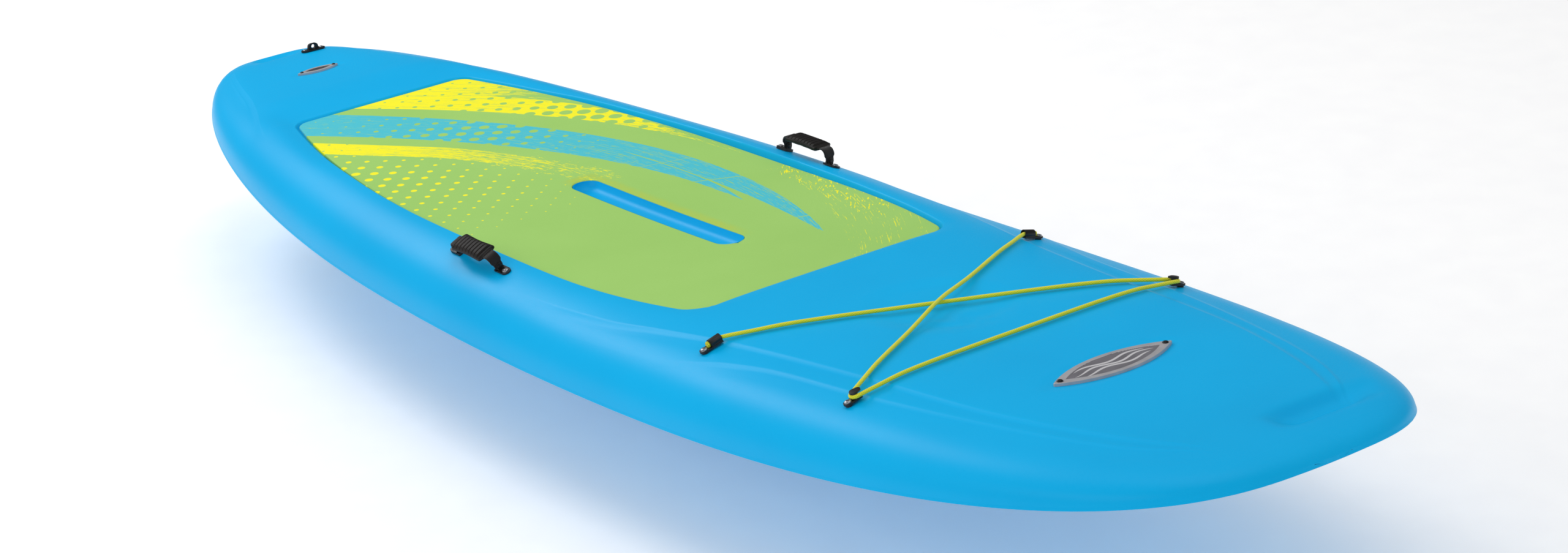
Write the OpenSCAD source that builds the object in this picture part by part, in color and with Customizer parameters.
// Stand up paddleboard: two rigid shells round a foam core, with a deck pad, two hinged
// handles, a crossed bungee, badges, a leash eyelet and a fin in its box.
// Frame: +X to the bow, +Y to port, +Z up. Origin on the centreline at
// mid-length, on the flat of the hull bottom. All lengths in millimetres.

/* [Board] */
// Overall length of the board
board_length = 2850; // [2700:10:3000]
// Overall width of the board
board_width = 800; // [760:5:840]
// Thickness at mid-length, hull bottom to deck crown
board_thickness = 140; // [130:1:150]
// Bow rocker: rise of the keel line at the bow
bow_rise = 147; // [120:1:170]
// Stern rocker: rise of the keel line at the stern
stern_rise = 96; // [80:1:110]
// Wall thickness of the moulded shells
wall = 4; // [3:0.5:5]

/* [Deck pad] */
// Thickness of the foam deck pad
pad_thickness = 5; // [4:0.5:6]
// Half width of the standing recess at its widest
pad_half = 281; // [270:1:285]
// Rear edge of the standing recess
pad_rear = -1006; // [-1020:1:-1000]
// Front edge of the standing recess
pad_front = 322; // [310:1:328]
// Half width of the carrying slot in the middle of the pad
slot_half = 24; // [20:1:26]

/* [Fittings] */
// Bungee cord diameter
cord_diameter = 6; // [5:0.5:6]
// Leash eye hole radius
leash_eye_radius = 4; // [3.5:0.5:4.5]
// Depth of the fin below its box
fin_depth = 195; // [150:5:230]

/* [What to build] */
// Part to show, or all of them

/* [Hidden] */

blue = [0.0, 0.62, 0.87];
black = [0.07, 0.07, 0.08];
strap_black = [0.1, 0.1, 0.11];
steel = [0.75, 0.76, 0.78];
badge_grey = [0.72, 0.73, 0.75];
yellow = [0.86, 0.86, 0.12];
foam_white = [0.95, 0.95, 0.93];
pad_green = [0.63, 0.82, 0.42];

half_length = board_length / 2;
half_width = board_width / 2;

// ---------- shape of the board ----------
widest_x = 7;
// exponents of the plan curve: along the board, across it
bow_plan = [2.889, 3.257];
stern_plan = [1.768, 2.46];
bow_rocker_x = -194;    // the bow rocker starts here
bow_rocker_delay = 0.9; // and its first rise, this much, is held flat
stern_rocker_x = -376;
end_thickness = 30;
seam_share = 0.167;     // share of the thickness that lies below the seam

function clamp01(a) = min(1, max(0, a));
// 0 at the widest place, 1 at the bow or stern
function plan_share(x) = clamp01(x > widest_x ? (x - widest_x) / (half_length - widest_x)
                                              : (widest_x - x) / (half_length + widest_x));
function plan_width(t, plan) = pow(1 - pow(t, plan[0]), 1 / plan[1]);
function half_w(x) =
    half_width * plan_width(plan_share(x), x > widest_x ? bow_plan : stern_plan);
function end_share(x) = min(1, abs(x) / half_length);
// share of the thickness kept: about 1 along the body, about a quarter at the tips
function tip(x) = sqrt(0.06 + 0.94 * (1 - pow(end_share(x), 60)));
function bow_rocker(x) =
    let (t = max(0, (x - bow_rocker_x) / (half_length - bow_rocker_x)))
    max(0, (bow_rise + bow_rocker_delay) * pow(t, 2.767) - bow_rocker_delay);
function stern_rocker(x) =
    stern_rise * pow(max(0, (stern_rocker_x - x) / (half_length + stern_rocker_x)), 2.287);
// thickness before the tips are rounded off
function full_thick(x) =
    end_thickness + (board_thickness - end_thickness) * (1 - pow(end_share(x), 3.196));
function seam(x) = bow_rocker(x) + stern_rocker(x) + seam_share * full_thick(x);
function keel(x) = seam(x) - seam_share * full_thick(x) * tip(x);
function crown(x) = seam(x) + (1 - seam_share) * full_thick(x) * tip(x);

// standing recess
recess_widest_x = -100;
front_r = 32;    // corner radius in plan
rear_r = 22;
floor_level_x = -300;
// floor of the recess, curving up towards both ends
function floor_z(x) = 111.5 * board_thickness / 140
    + 0.0000446 * pow(max(0, x - floor_level_x), 2)
    + 0.000005 * pow(max(0, floor_level_x - x), 2);
// half width before the corners are rounded
function pad_y(x) = pad_half * (1 - pow(
    x < recess_widest_x ? (recess_widest_x - x) / 1300 : (x - recess_widest_x) / 844, 2.6));
// how far a corner of radius r cuts in at distance d from the end
function corner(d, r) = d < r ? r - sqrt(max(0, r * r - (r - d) * (r - d))) : 0;
function recess_y(x) = pad_y(x) - corner(max(0, pad_front - x), front_r)
                                - corner(max(0, x - pad_rear), rear_r);

// carrying slot, with round ends
slot_rear = -360;
slot_front = 92;
slot_depth = 10;
slot_centres = [slot_rear + slot_half, slot_front - slot_half];
function slot_y(x) =
    let (past = max(slot_centres[0] - x, x - slot_centres[1], 0))
    sqrt(max(0, slot_half * slot_half - pow(past, 2)));

// share of the half width, 0 on the centreline
function across(x, y) = clamp01(abs(y) / max(1, half_w(x)));
function crowned(x, y) =
    seam(x) + (crown(x) - seam(x)) * pow(1 - pow(across(x, y), 5.006), 1 / 2.184);
// scoops near both tips, the one at the bow sits on the port side
function scoop(x, y) = 17 * exp(-pow(abs(x - 1314) / 26, 3) - pow(abs(y - 80) / 72, 4))
                     + 8 * exp(-pow(abs(x + 1382) / 15, 4) - pow(abs(y) / 42, 4));
function ease(t) = let (c = clamp01(t)) c * c * (3 - 2 * c);
// behind and beside the rear of the recess the deck slopes down to near the recess floor
dip_above_floor = 7;
function dip(x, y) = (1 - ease((pad_rear - x) / 120))
                   * (1 - ease((abs(y) - pad_y(max(x, pad_rear))) / 55))
                   * (1 - ease((x + 850) / 200));
function deck_z(x, y) = let (z = crowned(x, y) - scoop(x, y))
    z - dip(x, y) * max(0, z - floor_z(x) - dip_above_floor);
function belly(v) = pow(1 - pow(v, 3), 1 / 1.5);
function under_z(x, y) =
    seam(x) - (seam(x) - keel(x)) * min(1, 1.012 * belly(across(x, y)));
// angles about +X and +Y that lay a thing on the deck, in degrees
function deck_roll(x, y) = atan((crowned(x, y + 1) - crowned(x, y - 1)) / 2);
function deck_pitch(x, y) = -atan((crowned(x + 1, y) - crowned(x - 1, y)) / 2);

// ---------- grid stations ----------
// x where the half width is the share f of the widest, so the tips come out round
function bow_x(f) = widest_x
    + (half_length - widest_x) * pow(1 - pow(f, bow_plan[1]), 1 / bow_plan[0]);
function stern_x(f) = widest_x
    - (half_length + widest_x) * pow(1 - pow(f, stern_plan[1]), 1 / stern_plan[0]);
stern_xs = concat([for (f = [0.05, 0.14, 0.23]) stern_x(f)],
                  [-1391, -1382, -1372, -1358],
                  [for (f = [0.41, 0.5, 0.6, 0.68]) stern_x(f)]);
bow_xs = concat([bow_x(0.78)],
                [1240, 1286, 1300, 1314, 1328, 1342],
                [for (f = [0.5, 0.41, 0.32, 0.23, 0.14, 0.05]) bow_x(f)]);

// on the inside the last stretch at each end is drawn in to a shorter length
end_stretch = 150;
end_stretch_inner = 138;
body_end = half_length - end_stretch;
function inner_x(x) = abs(x) <= body_end ? x
    : sign(x) * (body_end + (abs(x) - body_end) * (end_stretch_inner / end_stretch));

// columns of a station
OUTER_X = 0;
INNER_X = 1;
SUNK = 2;         // 1 in the recess, 0 elsewhere
INNER_SHIFT = 3;  // side shift of the recess wall on the inside of the deck
CORE_X = 4;
CORE_SHIFT = 5;   // side shift of the recess wall on the core
inner_shift = 3;
core_shift = 5.5;
rim_step = 7;     // from the end of the recess to the next station on the deck
function plain(x) = [x, inner_x(x), 0, 0, inner_x(x), 0];
function sunk(x) = [x, x, 1, inner_shift, x, core_shift];
// station at angle a round a recess corner, end is 1 at the front and -1 at the rear
function bend(end, a) =
    let (x = end > 0 ? pad_front - front_r * (1 - sin(a)) : pad_rear + rear_r * (1 - sin(a)))
    [x, x + end * inner_shift * sin(a), 1, inner_shift * cos(a),
     x + end * core_shift * sin(a), core_shift * cos(a)];
function beyond(x, end) = [x, x + end * inner_shift, 0, 0, x + end * core_shift, 0];
stations = concat(
    [for (x = stern_xs) plain(x)],
    [plain(pad_rear - 50), plain(pad_rear - 26), beyond(pad_rear - rim_step, -1)],
    [for (a = [90, 72, 48, 24]) bend(-1, a)],
    [for (x = [-984, -930, -840, -720, -600, -480, -400]) sunk(x)],
    [for (x = [slot_rear + 1, slot_rear + 7, slot_centres[0]]) sunk(x)],
    [for (x = [-250, -140, -30]) sunk(x)],
    [for (x = [slot_centres[1], slot_front - 7, slot_front - 1]) sunk(x)],
    [for (x = [150, 225]) sunk(x)],
    [for (a = [0, 24, 48, 72, 90]) bend(1, a)],
    [beyond(pad_front + rim_step, 1)],
    [for (x = [390, 480, 580, 690, 800, 900, 1000, 1080]) plain(x)],
    [for (x = bow_xs) plain(x)]);

// ---------- lines across a station, counted by j from the centreline out ----------
// deck lines: 0 centre, 1 and 2 foot and top of the slot wall, 3 half way,
// 4 and 5 foot and top of the recess wall, then out to the seam
WALL_FOOT = 4;
WALL_TOP = 5;
side_lines = 7;
deck_lines = WALL_TOP + side_lines;
hull_lines = 8;
spine_half = 7;      // least half width at line 2
slot_wall_run = 4;   // sideways run of the slot wall
recess_wall_run = 6; // sideways run of the recess wall
seam_gap = 0.05;     // each shell stops this far from the seam
core_seam_gap = 0.5; // and the edge of the core's top lies this far above it
core_side_gap = wall + 3;

function side_of(j) = j < 0 ? 1 : -1;
function in_slot(x, sunk) = sunk == 1 && x > slot_rear && x < slot_front;
function slot_top_y(x, sunk) = max(spine_half, in_slot(x, sunk) ? slot_y(x) : 0);
// foot of the recess wall, carried on past the recess on plain stations
function wall_y(x, sunk) = sunk == 1 ? recess_y(x)
    : min(pad_y(max(pad_rear - rim_step, min(pad_front + rim_step, x)))
          - (x > 0 ? front_r : rear_r), half_w(x) * 0.66);
function out_y(x, sunk, j) =
    let (edge = half_w(x),
         foot = wall_y(x, sunk),
         top = min(foot + recess_wall_run, foot + edge * 0.1),
         slot_top = min(slot_top_y(x, sunk), edge * 0.2))
    j == 0 ? 0
    : j == 1 ? min(slot_top_y(x, sunk) - slot_wall_run, edge * 0.12)
    : j == 2 ? slot_top
    : j == 3 ? (slot_top + foot) / 2
    : j == WALL_FOOT ? foot
    : top + (edge - top) * sin(90 * (j - WALL_TOP) / side_lines);
function out_z(x, sunk, j, y) = sunk == 0 || j > WALL_FOOT ? deck_z(x, y)
    : in_slot(x, sunk) && j < 2 ? floor_z(x) - slot_depth
    : min(floor_z(x), deck_z(x, y));

// draws the outer part of a line in, so that the edge moves by gap
function shrink(x, y, gap) = let (edge = half_w(x), start = 0.84 * edge)
    y < start ? y : start + (y - start) * (edge - gap - start) / (edge - start);
// lines under the deck: walls of the recess and of the slot move outwards
function inset_y(x, sunk, j, wall_shift, slot_shift, gap) =
    let (y = out_y(x, sunk, j),
         on_wall = sunk == 1 && (j == WALL_FOOT || j == WALL_TOP),
         on_slot = in_slot(x, sunk) && (j == 1 || j == 2))
    shrink(x, on_wall ? y + wall_shift : on_slot ? y + slot_shift : y, gap);
function inset_z(x, sunk, j, gap, side) =
    let (z = out_z(x, sunk, j, side * out_y(x, sunk, j)), s = seam(x))
    s + seam_gap + max(0.12, 1 - gap / max(1, crown(x) - s)) * (z - s);

// Rows of points, one per station, from the port edge to the starboard edge
function deck_row(s) = [for (j = [-deck_lines:deck_lines])
    let (x = s[OUTER_X], k = abs(j), y = side_of(j) * out_y(x, s[SUNK], k),
         low = seam(x) + seam_gap)
    [x, y, k == deck_lines ? low : max(low, out_z(x, s[SUNK], k, y))]];
// row at x under the deck; shapes follow the outer station except in the end stretches
function inset_row(s, x, wall_shift, slot_shift, side_gap, top_gap, edge_lift) =
    let (from_x = abs(s[OUTER_X]) <= body_end ? s[OUTER_X] : x, low = seam(x) + edge_lift)
    [for (j = [-deck_lines:deck_lines]) let (k = abs(j))
        [x, side_of(j) * inset_y(from_x, s[SUNK], k, wall_shift, slot_shift, side_gap),
         k == deck_lines ? low
             : max(low, inset_z(from_x, s[SUNK], k, top_gap, side_of(j)))]];
function deck_inner_row(s) = inset_row(s, s[INNER_X], s[INNER_SHIFT], slot_shift = 2,
    side_gap = wall, top_gap = wall, edge_lift = seam_gap);
function core_row(s) = inset_row(s, s[CORE_X], s[CORE_SHIFT], slot_shift = 4,
    side_gap = core_side_gap, top_gap = wall + 2, edge_lift = core_seam_gap);
// point on the bottom of the core below the point p of its top
function core_under(p) =
    let (x = p[0], depth = seam(x) - keel(x),
         v = clamp01(abs(p[1]) / (half_w(x) - core_side_gap)))
    [x, p[1], seam(x) - 0.02 - max(0.1, 1 - core_side_gap / (depth + 1)) * depth * belly(v)];
function hull_y(x, j) = half_w(x) * sin(90 * abs(j) / hull_lines);
function hull_row(s) = [for (j = [-hull_lines:hull_lines])
    let (x = s[OUTER_X], y = hull_y(x, j), high = seam(x) - seam_gap)
    [x, side_of(j) * y, abs(j) == hull_lines ? high : min(high, under_z(x, y))]];
function hull_inner_row(s) = [for (j = [-hull_lines:hull_lines])
    let (x = s[INNER_X], edge = half_w(x), y = hull_y(x, j), high = seam(x) - seam_gap,
         kept = max(0.2, 1 - wall / max(1, seam(x) - keel(x))))
    [x, side_of(j) * y * (edge - wall) / edge,
     abs(j) == hull_lines ? high : high - kept * (seam(x) - under_z(x, y))]];

// ---------- meshing ----------
// Grids have n rows of m points. They are numbered row by row from index o.
function flat(rows) = [for (r = rows) for (p = r) p];
function quad(a, b, c, d, flip) = flip ? [[a, b, c], [a, c, d]] : [[c, b, a], [d, c, a]];
function grid_faces(n, m, o, flip) = [for (i = [0:n - 2]) for (j = [0:m - 2])
    let (a = o + i * m + j) each quad(a, a + 1, a + m + 1, a + m, flip)];
// strip joining column col of two grids whose indices differ by o2
function rim_faces(n, m, o2, col, flip) = [for (i = [0:n - 2])
    let (a = i * m + col, b = a + m) each quad(a, b, b + o2, a + o2, flip)];
// flat closing face over one end row
function end_fan(m, o, flip) =
    [for (j = [1:m - 2]) flip ? [o, o + j, o + j + 1] : [o + j + 1, o + j, o]];

// hollow shell between an outside grid and an inside grid, up is true for the deck
module shell(outer_rows, inner_rows, up) {
    n = len(outer_rows);
    m = len(outer_rows[0]);
    o2 = n * m;
    last = (n - 1) * m;
    polyhedron(points = concat(flat(outer_rows), flat(inner_rows)),
        faces = concat(
            grid_faces(n, m, 0, !up), grid_faces(n, m, o2, up),
            rim_faces(n, m, o2, 0, !up), rim_faces(n, m, o2, m - 1, up),
            end_fan(m, 0, up), end_fan(m, last, !up),
            end_fan(m, o2, !up), end_fan(m, o2 + last, up),
            quad(0, m - 1, o2 + m - 1, o2, up),
            quad(last, last + m - 1, o2 + last + m - 1, o2 + last, !up)),
        convexity = 8);
}

// closed solid between a top grid and a bottom grid with the same plan
module between(top, bottom) {
    n = len(top);
    m = len(top[0]);
    o2 = n * m;
    last = (n - 1) * m;
    polyhedron(points = concat(flat(top), flat(bottom)),
        faces = concat(
            grid_faces(n, m, 0, false), grid_faces(n, m, o2, true),
            rim_faces(n, m, o2, 0, true), rim_faces(n, m, o2, m - 1, false),
            [for (j = [0:m - 2]) each quad(j, j + 1, o2 + j + 1, o2 + j, true)],
            [for (j = [last:last + m - 2]) each quad(j, j + 1, o2 + j + 1, o2 + j, false)]),
        convexity = 8);
}

// closed solid through a list of rings with the same number of points
module loft(rings, flip) {
    n = len(rings);
    k = len(rings[0]);
    polyhedron(points = flat(rings),
        faces = concat(
            [for (i = [0:n - 2]) for (j = [0:k - 1])
                let (a = i * k + j, b = i * k + (j + 1) % k) each quad(a, b, b + k, a + k, flip)],
            [[for (j = [0:k - 1]) flip ? k - 1 - j : j]],
            [[for (j = [0:k - 1]) (n - 1) * k + (flip ? j : k - 1 - j)]]),
        convexity = 6);
}

// ---------- placing things on the deck ----------
module on_deck(x, y, lift) {
    translate([x, y, deck_z(x, y)])
        rotate([deck_roll(x, y), deck_pitch(x, y), 0])
            translate([0, 0, lift]) children();
}
// side is 1 for port and -1 for starboard
module mirror_y(side) { scale([1, side, 1]) children(); }

// ---------- screws and well nuts ----------
seat_gap = 0.05;     // heads stand this far off their seats
screw_r = 2.5;
screw_hole_r = 2.6;

// pan head screw with a cross recess, head seat at z = 0
module pan_screw(head_r, head_h, shank_r, shank_len) {
    rim_h = head_h * 0.35;
    difference() {
        union() {
            rotate_extrude($fn = 40) polygon(concat(
                [[0, 0], [head_r, 0], [head_r, rim_h]],
                [for (a = [20:20:80]) [head_r * cos(a), rim_h + head_h * 0.65 * sin(a)]],
                [[0, head_h]]));
            translate([0, 0, -shank_len]) cylinder(r = shank_r, h = shank_len + 0.1, $fn = 24);
        }
        for (a = [0, 90]) rotate([0, 0, a])
            translate([-head_r * 0.6, -head_r * 0.11, head_h * 0.45])
                cube([head_r * 1.2, head_r * 0.22, head_h]);
    }
}
module deck_screw() {
    pan_screw(head_r = 5.4, head_h = 3, shank_r = screw_r, shank_len = 18);
}

// blind well nut: rubber sleeve through the shell, swollen below it, bored for its screw;
// drop is measured from the screw seat down
nut_r = 5;
nut_bulge_r = 6.2;
nut_bulge_h = 8.5;
nut_depth = 17;
module well_nut(drop) {
    difference() {
        translate([0, 0, -drop - nut_depth]) union() {
            cylinder(r = nut_r, h = 16.6, $fn = 32);
            cylinder(r = nut_bulge_r, h = nut_bulge_h, $fn = 32);
        }
        translate([0, 0, -drop - nut_depth + 1]) cylinder(r = screw_r, h = 20, $fn = 24);
    }
}
module well_nut_hole(drop, play) {
    translate([0, 0, -drop - nut_depth - play]) {
        cylinder(r = nut_r + play, h = 22, $fn = 32);
        cylinder(r = nut_bulge_r + play, h = nut_bulge_h + 2 * play, $fn = 32);
    }
}

// ---------- handles ----------
// built in the handle's frame, hinge line along X through the origin
handle_x = -155;       // middle of the handle along the board
hinge_y = 322;         // hinge line, out from the centreline
leg_x = 58;            // half distance between the two legs
pivot_up = 9;          // hinge line above the deck
port_lean = 0;         // how far each handle leans outboard, in degrees
starboard_lean = 26;
handle_roll = deck_roll(handle_x, hinge_y);
pivot_z = deck_z(handle_x, hinge_y) + pivot_up / cos(handle_roll);
pin_r = 2.5;
strap_t = 3;
strap_w = 20;
strap_bend_r = 7.5;
shoulder_z = 13;       // top of the straight legs, where the bends start
strap_top_z = shoulder_z + strap_bend_r - strap_t;  // underside of the top bar
bend_x = leg_x - strap_bend_r + strap_t / 2;        // centre of the bends

// a low bridge with a leg at each end
module strap() {
    leg_half = strap_w / 2 - 2;
    difference() {
        union() {
            for (s = [-1, 1]) translate([s * leg_x - strap_t / 2, 0, 0])
                rotate([90, 0, 90]) linear_extrude(strap_t) polygon([
                    [-leg_half, 0], [leg_half, 0], [leg_half, 4],
                    [strap_w / 2, 8], [strap_w / 2, shoulder_z],
                    [-strap_w / 2, shoulder_z], [-strap_w / 2, 8], [-leg_half, 4]]);
            for (s = [-1, 1]) translate([s * bend_x, 0, shoulder_z]) rotate([90, 0, 0])
                translate([0, 0, -strap_w / 2]) strap_bend(s);
            translate([-leg_x + strap_bend_r - strap_t / 2, -strap_w / 2, strap_top_z])
                cube([2 * (leg_x - strap_bend_r) + strap_t, strap_w, strap_t]);
            for (s = [-1, 1]) translate([s * leg_x - strap_t / 2, 0, 0]) rotate([0, 90, 0])
                cylinder(r = leg_half, h = strap_t, $fn = 48);
        }
        translate([-leg_x - 5, 0, 0]) rotate([0, 90, 0])
            cylinder(r = pin_r + 0.05, h = 2 * leg_x + 10, $fn = 32);
        // trim the strap ends flat below the hinge line
        for (s = [-1, 1]) translate([s * leg_x - 3, -strap_w, -strap_w - 7.2])
            cube([6, strap_w * 2, strap_w]);
    }
}
module strap_bend(s) {
    intersection() {
        difference() {
            cylinder(r = strap_bend_r, h = strap_w, $fn = 48);
            translate([0, 0, -1])
                cylinder(r = strap_bend_r - strap_t, h = strap_w + 2, $fn = 48);
        }
        translate([s > 0 ? 0 : -8, 0, 0]) cube([8, 8, strap_w]);
    }
}

// ribbed rubber grip moulded round the strap
module grip() {
    length = 86;
    half = 12.5;      // half width of the flat part
    height = 10;
    base_z = 13.6;
    rib_pitch = 9.6;
    rib_w = rib_pitch / 2;
    difference() {
        union() {
            translate([-length / 2, -half, base_z]) cube([length, 2 * half, height]);
            for (s = [-1, 1]) translate([-length / 2, s * half, base_z + height / 2])
                rotate([0, 90, 0]) cylinder(r = height / 2, h = length, $fn = 32);
            for (i = [-4:4]) translate([i * rib_pitch - rib_w / 2, -11, 23])
                cube([rib_w, 22, 2.2]);
        }
        translate([-60, -strap_w / 2 - 0.1, strap_top_z - 0.1])
            cube([120, strap_w + 0.2, strap_t + 0.2]);
    }
}

foot_screw_x = leg_x + 17;
foot_t = 3;
foot_z = -pivot_up + 0.9;  // underside of the front foot plate
ear_x = 3.045;             // from the leg to the middle of an ear
ear_t = 2.4;
// the deck falls away towards the stern, so the rear foot is thicker; end is -1 at the rear
function foot_drop(end) = end < 0 ? 1.5 : 0;
function foot_nut_drop(end) = end < 0 ? 6.2 : 4.2;
// feet: each a plate with a screw hole and an ear either side of the strap leg
module feet() {
    for (end = [-1, 1]) difference() {
        union() {
            // plate, tipped to lie on the deck
            rotate([handle_roll, 0, 0]) translate([0, 0, foot_z - foot_drop(end)]) hull() {
                translate([end * foot_screw_x, 0, 0])
                    cylinder(r = 8, h = foot_t + foot_drop(end), $fn = 40);
                translate([end * (leg_x - 5) - 1, -8, 0]) cube([2, 16, foot_t + foot_drop(end)]);
            }
            for (s = [-1, 1]) translate([end * leg_x + s * ear_x - ear_t / 2, 0, 0]) {
                rotate([0, 90, 0]) cylinder(r = 5, h = ear_t, $fn = 36);
                rotate([handle_roll, 0, 0]) translate([0, -5, -pivot_up + 2])
                    cube([ear_t, 10, pivot_up - 2]);
            }
        }
        translate([end * leg_x - 4.5, 0, 0]) rotate([0, 90, 0])
            cylinder(r = pin_r, h = 9, $fn = 32);
        rotate([handle_roll, 0, 0]) translate([end * foot_screw_x, 0, -pivot_up - 3])
            cylinder(r = screw_hole_r, h = 11, $fn = 24);
        // room for the strap end to swing
        translate([end * leg_x - strap_t / 2 - 0.25, -9, -8.6]) cube([strap_t + 0.5, 18, 12]);
    }
}
// pin with a flat head on each end
module pivot_pin() {
    length = 8.7;
    head_r = 3.8;
    head_h = 1.25;
    translate([-length / 2, 0, 0]) rotate([0, 90, 0]) {
        cylinder(r = pin_r, h = length, $fn = 32);
        translate([0, 0, -1.2]) cylinder(r = head_r, h = head_h, $fn = 32);
        translate([0, 0, length - 0.05]) cylinder(r = head_r, h = head_h, $fn = 32);
    }
}

module handle_pose(side, lean = 0) {
    mirror_y(side) translate([handle_x, hinge_y, pivot_z]) rotate([-lean, 0, 0]) children();
}
module handle_screw_pose(side, end) {
    handle_pose(side) rotate([handle_roll, 0, 0])
        translate([end * foot_screw_x, 0, foot_z + foot_t + seat_gap]) children();
}
module handle_strap_left() { color(strap_black) handle_pose(1, port_lean) strap(); }
module handle_strap_right() { color(strap_black) handle_pose(-1, starboard_lean) strap(); }
module handle_grip_left() { color(black) handle_pose(1, port_lean) grip(); }
module handle_grip_right() { color(black) handle_pose(-1, starboard_lean) grip(); }
module handle_feet() { color(black) for (s = [-1, 1]) handle_pose(s) feet(); }
module handle_pivot_pins() {
    color(steel) for (s = [-1, 1]) handle_pose(s)
        for (end = [-1, 1]) translate([end * leg_x, 0, 0]) pivot_pin();
}
module handle_screws() {
    color(steel) for (s = [-1, 1]) for (end = [-1, 1]) handle_screw_pose(s, end) deck_screw();
}
module handle_inserts() {
    color(black) for (s = [-1, 1]) for (end = [-1, 1])
        handle_screw_pose(s, end) well_nut(foot_nut_drop(end));
}

// ---------- bungee ----------
anchor_x = 449;      // rear anchors
anchor_y = 302;
hook_x = 785;        // front hooks
hook_y = 290;
fitting_lift = 0.4;  // anchors and hooks above the deck
fitting_t = 2.8;     // their base plates
anchor_screw_y = 11;
hook_screw_y = 15;
bungee_nut_drop = 3.5;
cord_r = cord_diameter / 2;
neck_r = 3.6;        // neck of the hook
wrap_r = neck_r + cord_r + 0.4;
wrap_z = 7.4;        // cord round the hook, above the deck
sleeve_up = 6.4;     // axis of the anchor's sleeve
sleeve_len = 20;

module fitting_screw_hole(y) {
    translate([0, y, -1]) cylinder(r = screw_hole_r, h = 6, $fn = 24);
}
// y = 0 is the outer end of the cord sleeve, screw further out
module anchor() {
    difference() {
        union() {
            hull() {
                translate([0, anchor_screw_y, 0]) cylinder(r = 7.2, h = fitting_t, $fn = 40);
                translate([-7, -sleeve_len, 0]) cube([14, 8, fitting_t]);
            }
            translate([0, -sleeve_len, sleeve_up]) rotate([-90, 0, 0])
                cylinder(r = 6.4, h = sleeve_len, $fn = 40);
            translate([-6, -sleeve_len, 0.5]) cube([12, sleeve_len, 5]);
        }
        // bore, with a flared mouth on the inner end
        translate([0, -sleeve_len - 2, sleeve_up]) rotate([-90, 0, 0])
            cylinder(r = cord_r + 0.6, h = 30, $fn = 32);
        translate([0, -sleeve_len - 0.2, sleeve_up]) rotate([-90, 0, 0])
            cylinder(r1 = 5.8, r2 = cord_r + 0.6, h = 8, $fn = 32);
        // pocket for the knot behind the sleeve
        translate([0, -0.05, sleeve_up]) rotate([-90, 0, 0])
            cylinder(r = 5.6, h = 4.7, $fn = 36);
        fitting_screw_hole(anchor_screw_y);
        translate([-20, -30, -20]) cube([40, 60, 20]);
    }
}
module hook() {
    difference() {
        union() {
            hull() {
                translate([0, hook_screw_y, 0]) cylinder(r = 7, h = fitting_t, $fn = 40);
                translate([-6, -7, 0]) cube([12, 6, fitting_t]);
            }
            cylinder(r = neck_r, h = 11, $fn = 36);
            cylinder(r1 = 6, r2 = neck_r, h = 3.6, $fn = 36);
            // head reaching inwards over the cord
            translate([0, 0, 10.6]) hull() {
                translate([0, 1.5, 0]) cylinder(r = 6.4, h = 2.8, $fn = 32);
                translate([0, -4.5, 0]) cylinder(r = 5.4, h = 2.2, $fn = 32);
            }
        }
        fitting_screw_hole(hook_screw_y);
    }
}

// point p of a frame that lies on the deck at x, y
function place(x, y, p) =
    let (roll = deck_roll(x, y), pitch = deck_pitch(x, y),
         a = [p[0], p[1] * cos(roll) - p[2] * sin(roll), p[1] * sin(roll) + p[2] * cos(roll)])
    [x + a[0] * cos(pitch) + a[2] * sin(pitch), y + a[1],
     deck_z(x, y) - a[0] * sin(pitch) + a[2] * cos(pitch)];
function flip_y(side, p) = [p[0], side * p[1], p[2]];
// lowest centre line of the cord over the deck
function cord_floor(x, y) = deck_z(x, y) + cord_r + 1.2;
wrap_steps = 8;
function wrap_points(side, from, to) = [for (i = [0:wrap_steps])
    let (a = from + (to - from) * i / wrap_steps)
    flip_y(side, place(hook_x, hook_y, [wrap_r * cos(a), wrap_r * sin(a), wrap_z]))];
// a straight run laid over the deck; lift raises its middle over the other diagonal
function run(p, q, n, lift) = [for (i = [1:n - 1])
    let (t = i / n, on_line = p + (q - p) * t, x = on_line[0], y = on_line[1],
         near_end = min(1, min(t, 1 - t) * 9))
    [x, y, max(on_line[2], cord_floor(x, y)) + lift * exp(-pow((t - 0.5) / 0.13, 2))
           + 1.5 * near_end]];
// centre line of the sleeve, y measured outwards from its outer end
function in_sleeve(side, y) =
    flip_y(side, place(anchor_x, anchor_y, [0, y, sleeve_up + fitting_lift]));
// just inside the sleeve's mouth, and just clear of it
function mouth(side) = in_sleeve(side, -19) + [1, 0, -0.2];
function clear_of_mouth(side) = in_sleeve(side, -26) + [4.5, 0, -1];
cord_end = 4.4;
diagonal = atan2(2 * hook_y, hook_x - anchor_x);
port_wrap = wrap_points(1, diagonal + 90, 0);
starboard_wrap = wrap_points(-1, 0, diagonal + 90);
// from the starboard anchor round the port then the starboard hook to the port anchor
cord_path = concat(
    [for (y = [cord_end, 0, -12]) in_sleeve(-1, y)],
    [mouth(-1)],
    run(clear_of_mouth(-1), port_wrap[0], 15, 0),
    port_wrap,
    run(port_wrap[wrap_steps], starboard_wrap[0], 16, 0),
    starboard_wrap,
    run(starboard_wrap[wrap_steps], clear_of_mouth(1), 15, cord_diameter + 1.6),
    [mouth(1)],
    [for (y = [-12, 0, cord_end]) in_sleeve(1, y)]);

function unit(v) = v / max(1e-9, norm(v));
// round tube swept along a list of points
module tube(path, r, sides) {
    last = len(path) - 1;
    loft([for (i = [0:last])
        let (along = unit(path[min(last, i + 1)] - path[max(0, i - 1)]),
             level = unit(cross([0, 0, 1], along)),
             up = cross(along, level))
        [for (j = [0:sides - 1]) let (a = 360 * j / sides)
            path[i] + r * (cos(a) * level + sin(a) * up)]], false);
}

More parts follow.
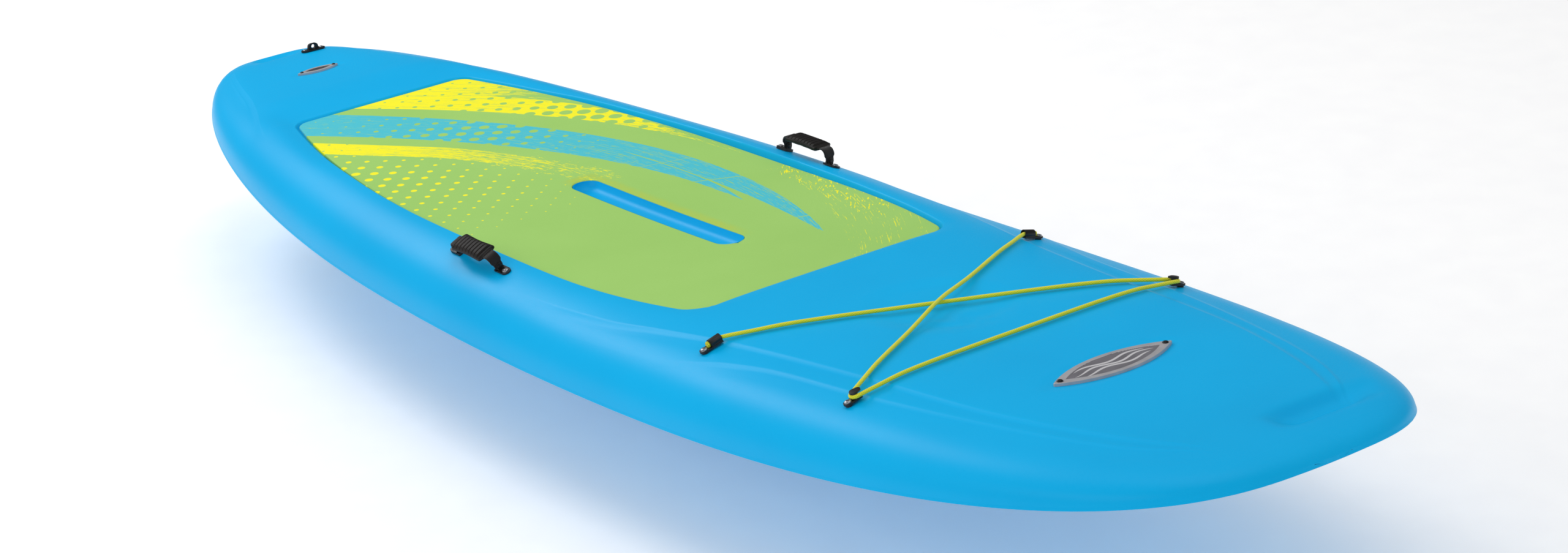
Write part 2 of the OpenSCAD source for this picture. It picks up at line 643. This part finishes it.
module anchor_pose(side) { mirror_y(side) on_deck(anchor_x, anchor_y, fitting_lift) children(); }
module hook_pose(side) { mirror_y(side) on_deck(hook_x, hook_y, fitting_lift) children(); }
module bungee_screw_spots() {
    for (s = [-1, 1]) {
        anchor_pose(s) translate([0, anchor_screw_y, fitting_t + seat_gap]) children();
        hook_pose(s) translate([0, hook_screw_y, fitting_t + seat_gap]) children();
    }
}
module bungee_cord() { color(yellow) tube(cord_path, cord_r, 10); }
module cord_end_knots() {
    color(yellow) for (s = [-1, 1]) anchor_pose(s)
        translate([0, 0.15, sleeve_up]) rotate([-90, 0, 0]) difference() {
            rotate_extrude($fn = 36)
                polygon([[0, 0], [4.2, 0], [5.2, 1], [5.2, 3], [4.2, 4.1], [0, 4.1]]);
            translate([0, 0, -1]) cylinder(r = cord_r + 0.15, h = 7, $fn = 32);
        }
}
module bungee_anchor_left() { color(black) anchor_pose(1) anchor(); }
module bungee_anchor_right() { color(black) anchor_pose(-1) anchor(); }
module bungee_hook_left() { color(black) hook_pose(1) hook(); }
module bungee_hook_right() { color(black) hook_pose(-1) hook(); }
module bungee_screws() { color(steel) bungee_screw_spots() deck_screw(); }
module bungee_inserts() { color(black) bungee_screw_spots() well_nut(bungee_nut_drop); }

// ---------- badges ----------
// x, plate [half length, half width, thickness],
// sunk face [half length, half width, height of its floor],
// rivets [distance from the centreline, radius, head radius]
bow_badge_sizes = [991, [108, 35, 2.6], [86, 27.5, 1.8], [95.5, 2, 4.8]];
stern_badge_sizes = [-1225, [42, 12, 2.2], [27, 7.5, 1.5], [33, 1.7, 3.4]];
badges = [bow_badge_sizes, stern_badge_sizes];

// oval plate with cropped points, long axis along Y
module lens(half_len, half_wid, t) {
    r = (half_len * half_len + half_wid * half_wid) / (2 * half_wid);
    intersection() {
        translate([r - half_wid, 0, 0]) cylinder(r = r, h = t, $fn = 180);
        translate([-r + half_wid, 0, 0]) cylinder(r = r, h = t, $fn = 180);
        translate([-half_wid * 2, -half_len * 0.985, 0]) cube([half_wid * 4, half_len * 1.97, t]);
    }
}
module badge_pose(sizes) { on_deck(sizes[0], 0, 0.5) children(); }
module rivet_spots(sizes) {
    badge_pose(sizes) for (s = [-1, 1]) translate([0, s * sizes[3][0], 0]) children();
}
module badge(sizes) {
    plate = sizes[1];
    face = sizes[2];
    rivets = sizes[3];
    badge_pose(sizes) difference() {
        lens(plate[0], plate[1], plate[2]);
        translate([0, 0, face[2]]) lens(face[0], face[1], 2);
        for (s = [-1, 1]) translate([0, s * rivets[0], -1])
            cylinder(r = rivets[1] + 0.05, h = 6, $fn = 24);
    }
}
// t is the thickness of the plate under the head
module rivet(r, head_r, t) {
    head_h = head_r * 0.55;
    translate([0, 0, -9]) cylinder(r = r, h = 9 + t, $fn = 24);
    translate([0, 0, t + seat_gap]) rotate_extrude($fn = 32) polygon(concat(
        [[0, 0], [head_r, 0]],
        [for (a = [15:15:75]) [head_r * cos(a), head_h * sin(a)]],
        [[0, head_h]]));
}
module bow_badge() { color(badge_grey) badge(bow_badge_sizes); }
module stern_badge() { color(badge_grey) badge(stern_badge_sizes); }
module badge_rivets() {
    color(black) for (b = badges) rivet_spots(b) rivet(b[3][1], b[3][2], b[1][2]);
}

// ---------- leash eyelet ----------
leash_x = -1352;
leash_y = 62;
leash_plate_t = 2.6;
leash_screw_y = 17;
leash_screw_r = 2;
module leash_pose() { on_deck(leash_x, leash_y, 0.5) children(); }
module leash_eyelet() {
    color(black) leash_pose() difference() {
        union() {
            hull() for (s = [-1, 1]) translate([0, s * 16, 0])
                cylinder(r = 8, h = leash_plate_t, $fn = 40);
            translate([-2.5, 0, 0]) rotate([90, 0, 90]) linear_extrude(5) hull() {
                translate([-11, 0]) square([22, leash_plate_t]);
                translate([-4, 7.2]) circle(r = 6, $fn = 40);
                translate([4, 7.2]) circle(r = 6, $fn = 40);
            }
        }
        translate([-5, 0, 7.4]) rotate([0, 90, 0])
            cylinder(r = leash_eye_radius, h = 10, $fn = 40);
        for (s = [-1, 1]) translate([0, s * leash_screw_y, -1])
            cylinder(r = leash_screw_r + 0.1, h = 6, $fn = 24);
    }
}
module leash_screws() {
    color(steel) leash_pose() for (s = [-1, 1])
        translate([0, s * leash_screw_y, leash_plate_t + seat_gap])
            pan_screw(head_r = 3.6, head_h = 2.2, shank_r = leash_screw_r, shank_len = 12);
}

// ---------- fin and its box ----------
fin_x = -1010;       // middle of the fin box
box_len = 268;
box_w = 26;
box_d = 26;
flange = 8;          // the flange is longer and wider than the box by this
slot_len = 250;
fin_pin_x = -70;
fin_pin_z = 12.1;
fin_pin_r = 2;
fin_pin_len = 16.6;
fin_screw_x = 69;
fin_screw_r = 2;
fin_seat_z = 1.4;    // seat of the screw head, inside the counterbore
fin_tilt = atan((keel(fin_x - 100) - keel(fin_x + 100)) / 200);
// origin on the hull surface, X forward along the slot, Z up into the hull
module fin_pose() { translate([fin_x, 0, under_z(fin_x, 0)]) rotate([0, fin_tilt, 0]) children(); }
module bar(l, w, z0, z1) { translate([-l / 2, -w / 2, z0]) cube([l, w, z1 - z0]); }
module fin_box() {
    color(black) fin_pose() difference() {
        union() {
            bar(box_len, box_w, -0.5, box_d);
            bar(box_len + flange, box_w + flange, -1.2, 0.6);
        }
        bar(slot_len, 9.8, -2, 22);
        // side grooves that hold the roll pin and the nut plate
        bar(slot_len, 17.2, 9.8, 14.4);
        // entry for the pin half way along
        translate([-3, -8.5, -2]) cube([6, 17, 13]);
    }
}

// blade sections, t runs from 0 at the root to 1 at the tip
root_chord = 168;
root_thickness = 8.6;
foil_points = 24;
blade_steps = 12;
function leading_x(t) = 78 - 150 * pow(t, 1.5) - 6 * t;
function chord(t) = root_chord * (1 - 0.62 * t - 0.26 * pow(t, 3));
// point j of a section, x from 0 at the leading edge back to -length
function foil(j, length, thickness) =
    let (a = 360 * j / foil_points, s = (1 + cos(a)) / 2)
    [length * (s - 1), thickness / 2 * sin(a) * (0.35 + 0.65 * sqrt(max(0, s)))];
module fin_blade() {
    loft([for (i = [0:blade_steps])
        let (t = i / blade_steps, thickness = root_thickness * (1 - 0.62 * t))
        [for (j = [0:foil_points - 1]) let (p = foil(j, chord(t), thickness))
            [leading_x(t) + p[0], p[1], -1.6 - fin_depth * t]]], true);
}
// the part of the fin that fills the slot of the box
module fin_tang() {
    difference() {
        translate([-86, -4.6, -1.9]) cube([164, 9.2, 22.4]);
        // front step for the nut plate
        translate([60, -6, 8]) cube([30, 12, 20]);
        translate([fin_screw_x, 0, -3]) cylinder(r = fin_screw_r + 0.15, h = 12, $fn = 24);
        translate([fin_pin_x, -6, fin_pin_z]) rotate([-90, 0, 0])
            cylinder(r = fin_pin_r, h = 12, $fn = 24);
        translate([fin_screw_x, 0, -4]) cylinder(r = 3.9, h = fin_seat_z + 4, $fn = 24);
    }
}
module fin() {
    color(black) fin_pose() {
        fin_blade();
        fin_tang();
    }
}
module fin_roll_pin() {
    color(steel) fin_pose() translate([fin_pin_x, -fin_pin_len / 2, fin_pin_z])
        rotate([-90, 0, 0]) cylinder(r = fin_pin_r, h = fin_pin_len, $fn = 32);
}
module fin_screw() {
    color(steel) fin_pose() translate([fin_screw_x, 0, fin_seat_z - seat_gap])
        rotate([180, 0, 0]) difference() {
            union() {
                cylinder(r = 3.6, h = 2.4, $fn = 36);
                translate([0, 0, -13.5]) cylinder(r = fin_screw_r, h = 13.6, $fn = 24);
            }
            // cross recess, half sizes of its two bars
            for (c = [[2.6, 0.5], [0.5, 2.6]])
                translate([-c[0], -c[1], 1.2]) cube([2 * c[0], 2 * c[1], 3]);
        }
}
module fin_nut_plate() {
    color(steel) fin_pose() difference() {
        translate([fin_screw_x - 7, -8.2, 10.2]) cube([14, 16.4, 3.8]);
        translate([fin_screw_x, 0, 9]) cylinder(r = fin_screw_r, h = 8, $fn = 24);
    }
}

// ---------- shells, core and pad ----------
// holes for every fitting that goes through the deck, with play all round
module deck_holes(play) {
    for (s = [-1, 1]) for (end = [-1, 1])
        handle_screw_pose(s, end) well_nut_hole(foot_nut_drop(end), play);
    bungee_screw_spots() well_nut_hole(bungee_nut_drop, play);
    for (b = badges) rivet_spots(b)
        translate([0, 0, -10]) cylinder(r = b[3][1] + play, h = 14, $fn = 24);
    leash_pose() for (s = [-1, 1]) translate([0, s * leash_screw_y, -13])
        cylinder(r = leash_screw_r + play, h = 16, $fn = 24);
}
module deck_shell() {
    color(blue) difference() {
        shell([for (s = stations) deck_row(s)], [for (s = stations) deck_inner_row(s)], true);
        deck_holes(0.05);
    }
}
module hull_shell() {
    play = 0.4;
    color(blue) difference() {
        shell([for (s = stations) hull_row(s)], [for (s = stations) hull_inner_row(s)], false);
        fin_pose() bar(box_len + play, box_w + play, -12, 20);
        fin_pose() bar(box_len + flange + play, box_w + flange + play, -12, 0.7);
    }
}
// the core leaves out the first and last stations
module foam_core() {
    top = [for (i = [1:len(stations) - 2]) core_row(stations[i])];
    color(foam_white) difference() {
        between(top, [for (row = top) [for (p = row) core_under(p)]]);
        fin_pose() bar(box_len + 3, box_w + 3, -30, box_d + 1.5);
        deck_holes(0.3);
    }
}

pad_xs = [for (s = stations) if (s[SUNK] == 1) s[OUTER_X]];
pad_xs_back = [for (i = [len(pad_xs) - 1:-1:0]) pad_xs[i]];
pad_gap = 0.3;  // between the recess floor and the pad
module pad_outline() {
    offset(delta = -1.5) polygon(concat(
        [for (x = pad_xs) [x, recess_y(x)]],
        [for (x = pad_xs_back) [x, -recess_y(x)]]));
}
module deck_pad() {
    color(pad_green) intersection() {
        rotate([90, 0, 0]) translate([0, 0, -board_width / 2])
            linear_extrude(board_width) polygon(concat(
                [for (x = pad_xs) [x, floor_z(x) + pad_gap]],
                [for (x = pad_xs_back) [x, floor_z(x) + pad_gap + pad_thickness]]));
        linear_extrude(2 * board_thickness) difference() {
            pad_outline();
            hull() for (x = slot_centres) translate([x, 0]) circle(r = slot_half + 1, $fn = 48);
        }
    }
}

deck_shell();
hull_shell();
foam_core();
deck_pad();
handle_grip_left();
handle_grip_right();
handle_strap_left();
handle_strap_right();
handle_feet();
handle_pivot_pins();
handle_screws();
handle_inserts();
bungee_cord();
cord_end_knots();
bungee_anchor_left();
bungee_anchor_right();
bungee_hook_left();
bungee_hook_right();
bungee_screws();
bungee_inserts();
bow_badge();
stern_badge();
badge_rivets();
leash_eyelet();
leash_screws();
fin_box();
fin();
fin_roll_pin();
fin_screw();
fin_nut_plate();
